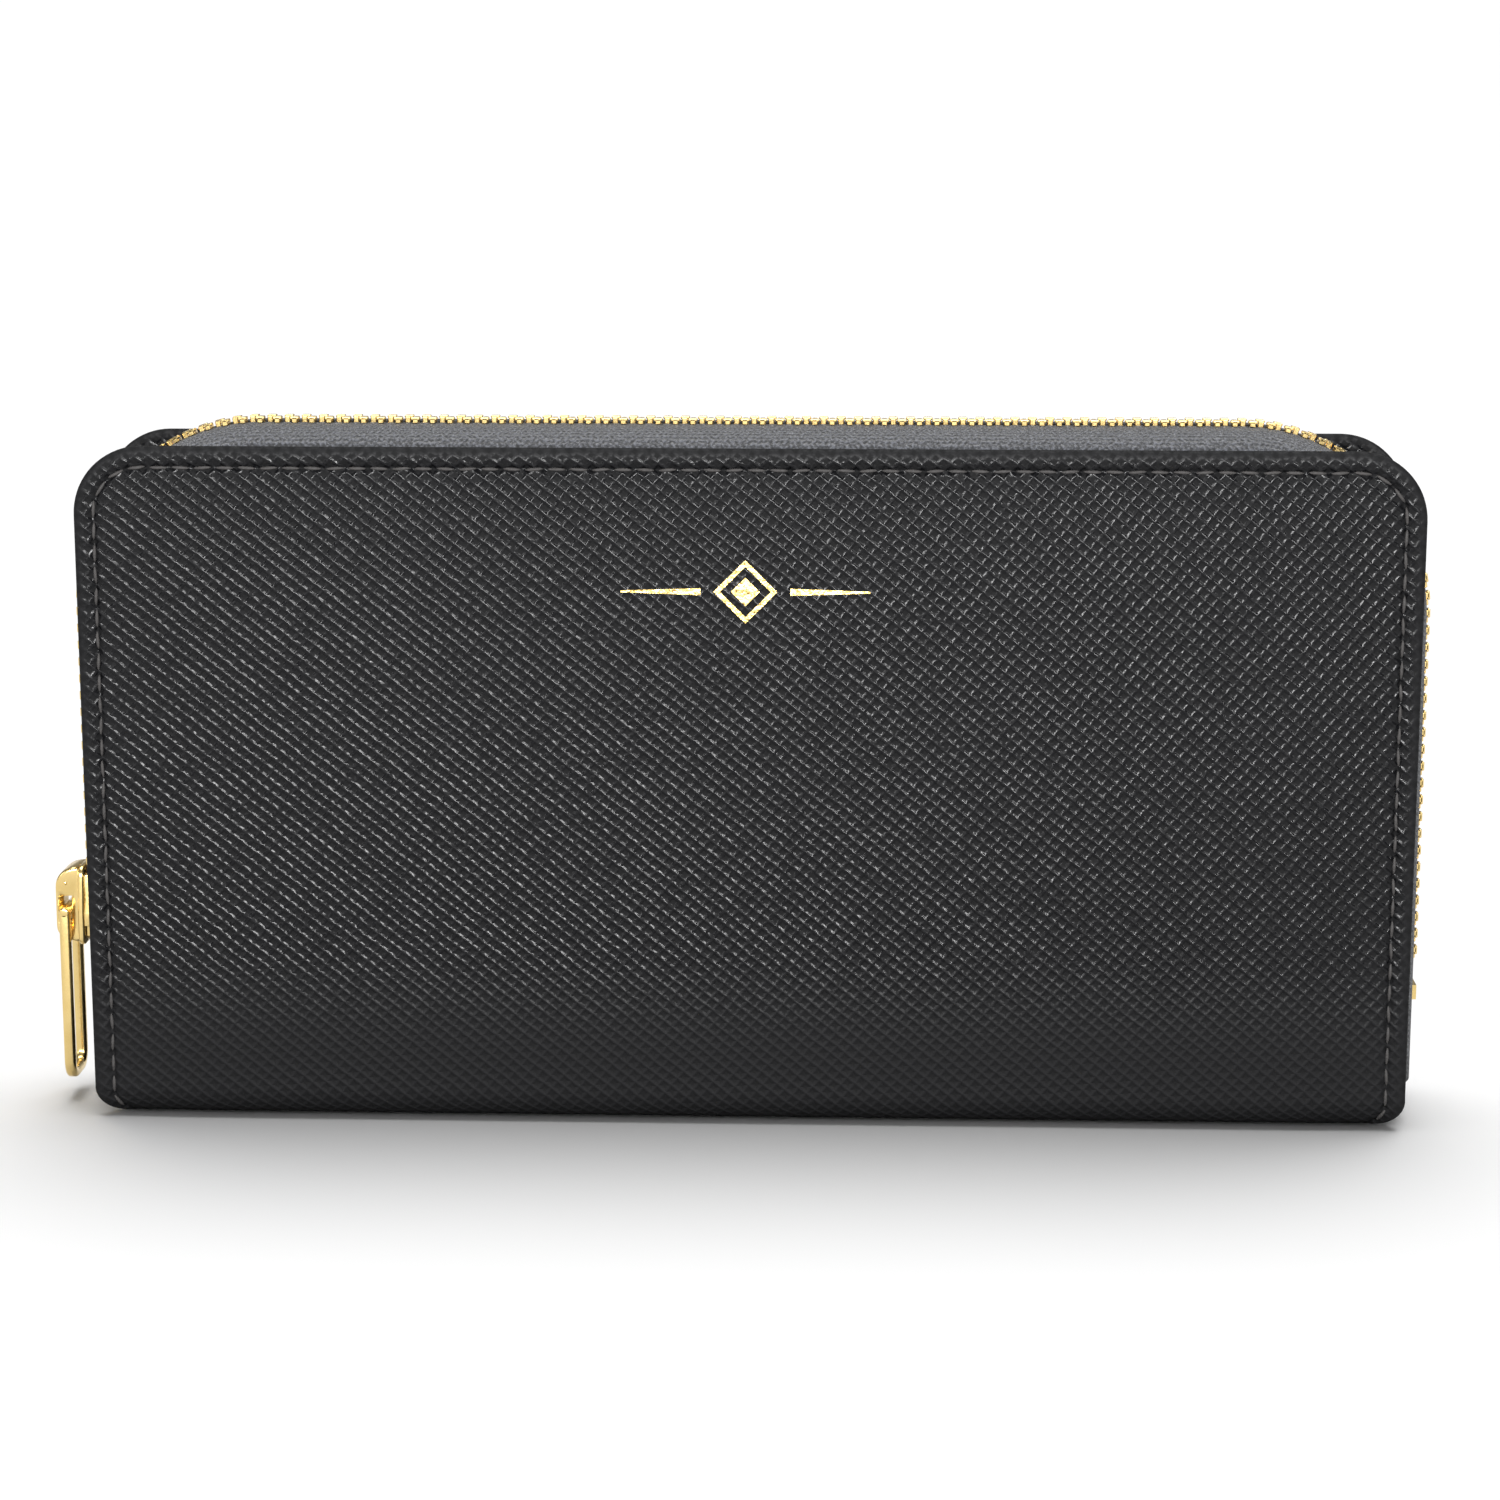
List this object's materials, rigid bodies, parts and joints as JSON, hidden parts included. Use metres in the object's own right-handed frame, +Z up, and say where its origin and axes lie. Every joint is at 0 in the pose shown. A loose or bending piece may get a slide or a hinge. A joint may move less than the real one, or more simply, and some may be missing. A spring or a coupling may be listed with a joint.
{
  "type": "zip around wallet",
  "caption": "Long leather wallet that zips round three sides, with card pockets, note compartments and a zipped coin pocket inside.",
  "frame": {"origin": "middle of the spine's flat base, on which the closed wallet stands", "axes": "+X along the wallet to the right seen from the front, -Y out of the front cover, +Z up to the zipped top edge"},
  "size_m": [0.2044, 0.025, 0.1039],
  "materials": {
    "leather": "cross-hatched, semi-gloss black",
    "card_leather": "smooth matt black",
    "lining": "fine woven black",
    "board": "pressed fibre board",
    "thread": "waxed thread",
    "zip_tape": "woven charcoal tape",
    "zip_metal": "polished light gold plate",
    "spring_steel": "plain"
  },
  "bodies": {
    "centre": {"spine_leather": "leather", "spine_lining": "lining", "coin_pocket_front_wall": "lining", "coin_pocket_back_wall": "lining", "coin_pocket_seam": "thread", "coin_zip_tape_front": "zip_tape", "coin_zip_tape_back": "zip_tape", "coin_zip_teeth_front": "zip_metal", "coin_zip_teeth_back": "zip_metal", "coin_zip_stops": "zip_metal", "gusset_front_left_inner": "lining", "gusset_front_right_inner": "lining", "gusset_back_left_inner": "lining", "gusset_back_right_inner": "lining"},
    "front_cover": {"front_cover_leather": "leather", "front_board": "board", "front_lining": "lining", "front_stitching": "thread", "zip_tape_front": "zip_tape", "zip_teeth_front": "zip_metal", "zip_top_stop_front": "zip_metal", "front_card_backing": "lining", "front_card_pocket_1": "card_leather", "front_card_pocket_2": "card_leather", "front_card_pocket_3": "card_leather", "front_card_pocket_4": "card_leather", "gusset_front_left_outer": "lining", "gusset_front_right_outer": "lining"},
    "back_cover": {"back_cover_leather": "leather", "back_board": "board", "back_lining": "lining", "back_stitching": "thread", "zip_tape_back": "zip_tape", "zip_teeth_back": "zip_metal", "zip_top_stop_back": "zip_metal", "back_card_backing": "lining", "back_card_pocket_1": "card_leather", "back_card_pocket_2": "card_leather", "back_card_pocket_3": "card_leather", "back_card_pocket_4": "card_leather", "gusset_back_left_outer": "lining", "gusset_back_right_outer": "lining", "zip_bottom_stop": "zip_metal"},
    "main_slider": {"slider_body": "zip_metal", "slider_cap": "zip_metal", "slider_lock_spring": "spring_steel"},
    "main_pull": {"slider_pull": "zip_metal"},
    "coin_slider": {"coin_slider_body": "zip_metal", "coin_slider_cap": "zip_metal"},
    "coin_pull": {"coin_slider_pull": "zip_metal"}
  },
  "joints": [
    {"name": "front_open", "type": "hinge", "parent": "centre", "child": "front_cover", "pos_m": [0, -0.0075, 0.005], "axis": [1, 0, 0], "range_deg": [0, 30]},
    {"name": "back_open", "type": "hinge", "parent": "centre", "child": "back_cover", "pos_m": [0, 0.0075, 0.005], "axis": [-1, 0, 0], "range_deg": [0, 30]},
    {"name": "slider_run", "type": "slide", "parent": "back_cover", "child": "main_slider", "axis": [0, 0, 1], "range_m": [0, 0.038], "deforming": ["zip_teeth_front", "zip_teeth_back", "zip_top_stop_front", "zip_top_stop_back"]},
    {"name": "pull_swing", "type": "hinge", "parent": "main_slider", "child": "main_pull", "pos_m": [-0.1029, 0, 0.0293], "axis": [0, 1, 0], "range_deg": [0, 175]},
    {"name": "coin_run", "type": "slide", "parent": "centre", "child": "coin_slider", "axis": [1, 0, 0], "range_m": [0, 0.139], "deforming": ["coin_zip_teeth_front", "coin_zip_teeth_back"]},
    {"name": "coin_pull_swing", "type": "hinge", "parent": "coin_slider", "child": "coin_pull", "pos_m": [-0.0705, 0, 0.08995], "axis": [0, 1, 0], "range_deg": [0, 175]}
  ]
}
